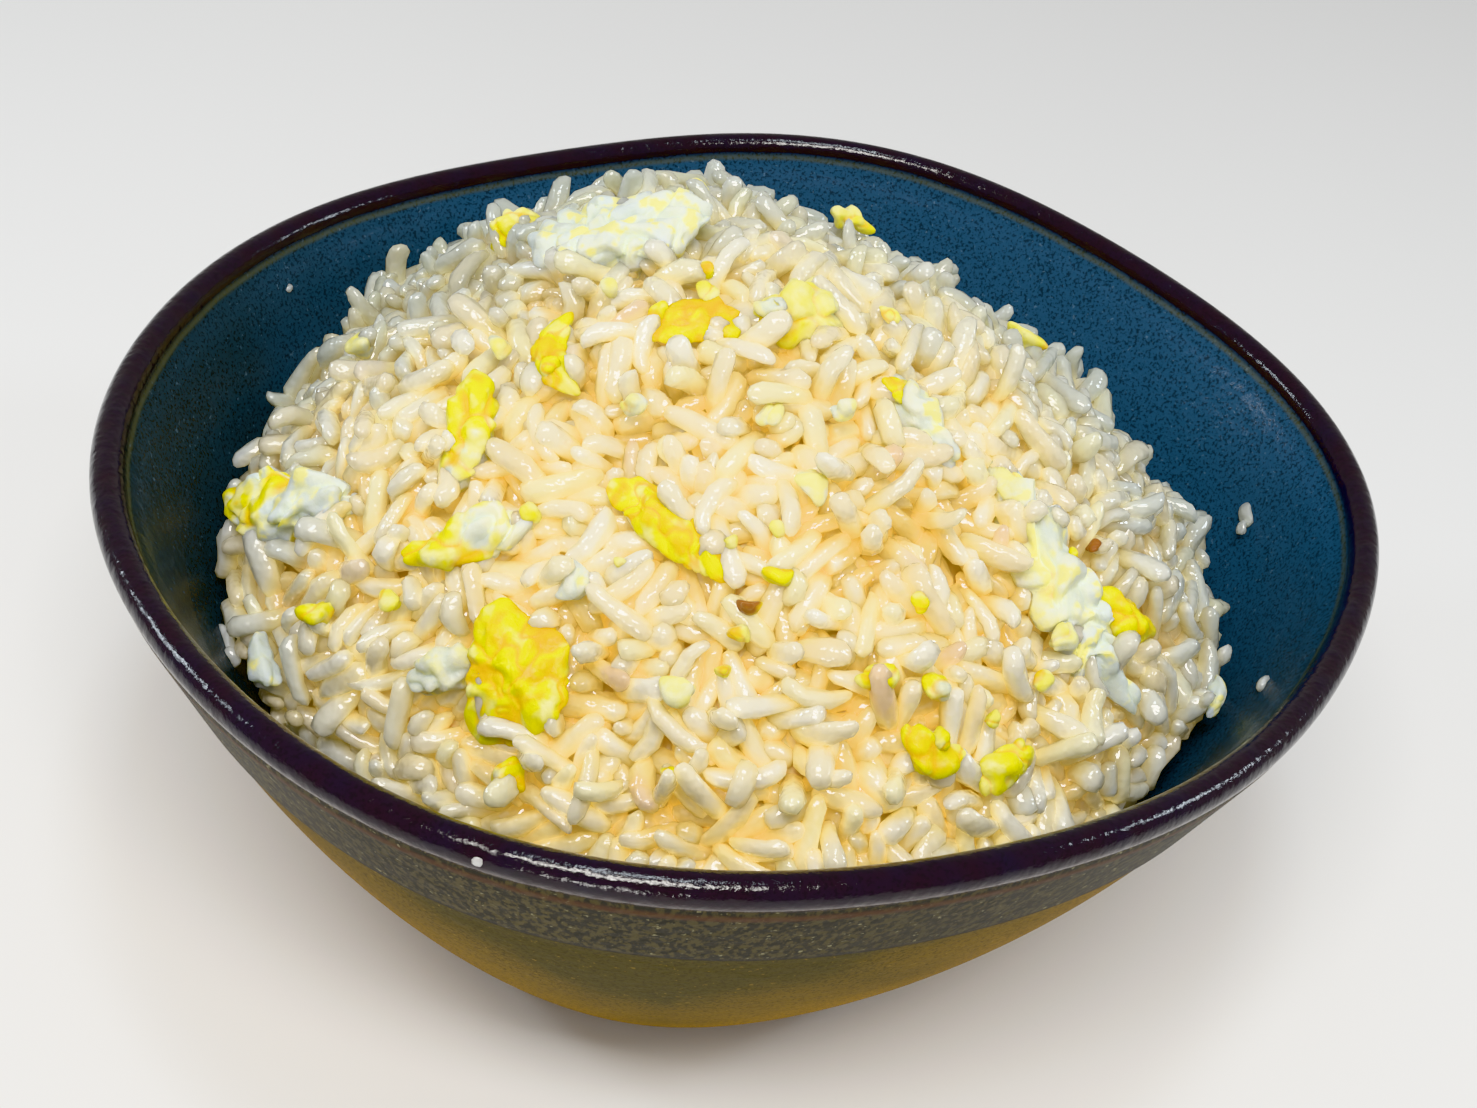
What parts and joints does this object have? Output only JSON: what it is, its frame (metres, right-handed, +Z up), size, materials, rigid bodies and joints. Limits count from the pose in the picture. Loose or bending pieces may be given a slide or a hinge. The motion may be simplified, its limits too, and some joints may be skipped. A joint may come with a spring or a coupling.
{
  "type": "bowl of egg fried rice",
  "caption": "Egg fried rice heaped high in a dark glazed stoneware bowl with an uneven, hand-thrown round rim.",
  "frame": {"origin": "on the surface the bowl stands on, under the middle of the rim's outline", "axes": "+Z up, +X to the right and -Y towards the viewer as the dish is served"},
  "size_m": [0.1588, 0.1592, 0.0909],
  "materials": {
    "glaze": "gloss",
    "rice": "satin",
    "egg_white": "satin",
    "egg_pale": "satin",
    "egg_yellow": "satin",
    "egg_yolk": "satin"
  },
  "bodies": {
    "root": {"bowl": "glaze", "rice": "rice", "egg_white_crown": "egg_white", "egg_yolk_front": "egg_yolk", "egg_yolk_middle": "egg_yellow", "egg_sheet_right": "egg_white", "egg_curd_left": "egg_pale", "egg_strip_left": "egg_pale", "egg_twist_left": "egg_yellow", "egg_fold_back": "egg_yolk", "egg_crescent": "egg_yellow", "egg_curd_back": "egg_pale", "egg_sliver_right": "egg_white", "egg_white_front": "egg_white", "egg_curd_low_right": "egg_yellow", "egg_curd_edge_right": "egg_pale", "egg_lump_right": "egg_yellow", "egg_curd_crest": "egg_yellow"}
  },
  "joints": []
}
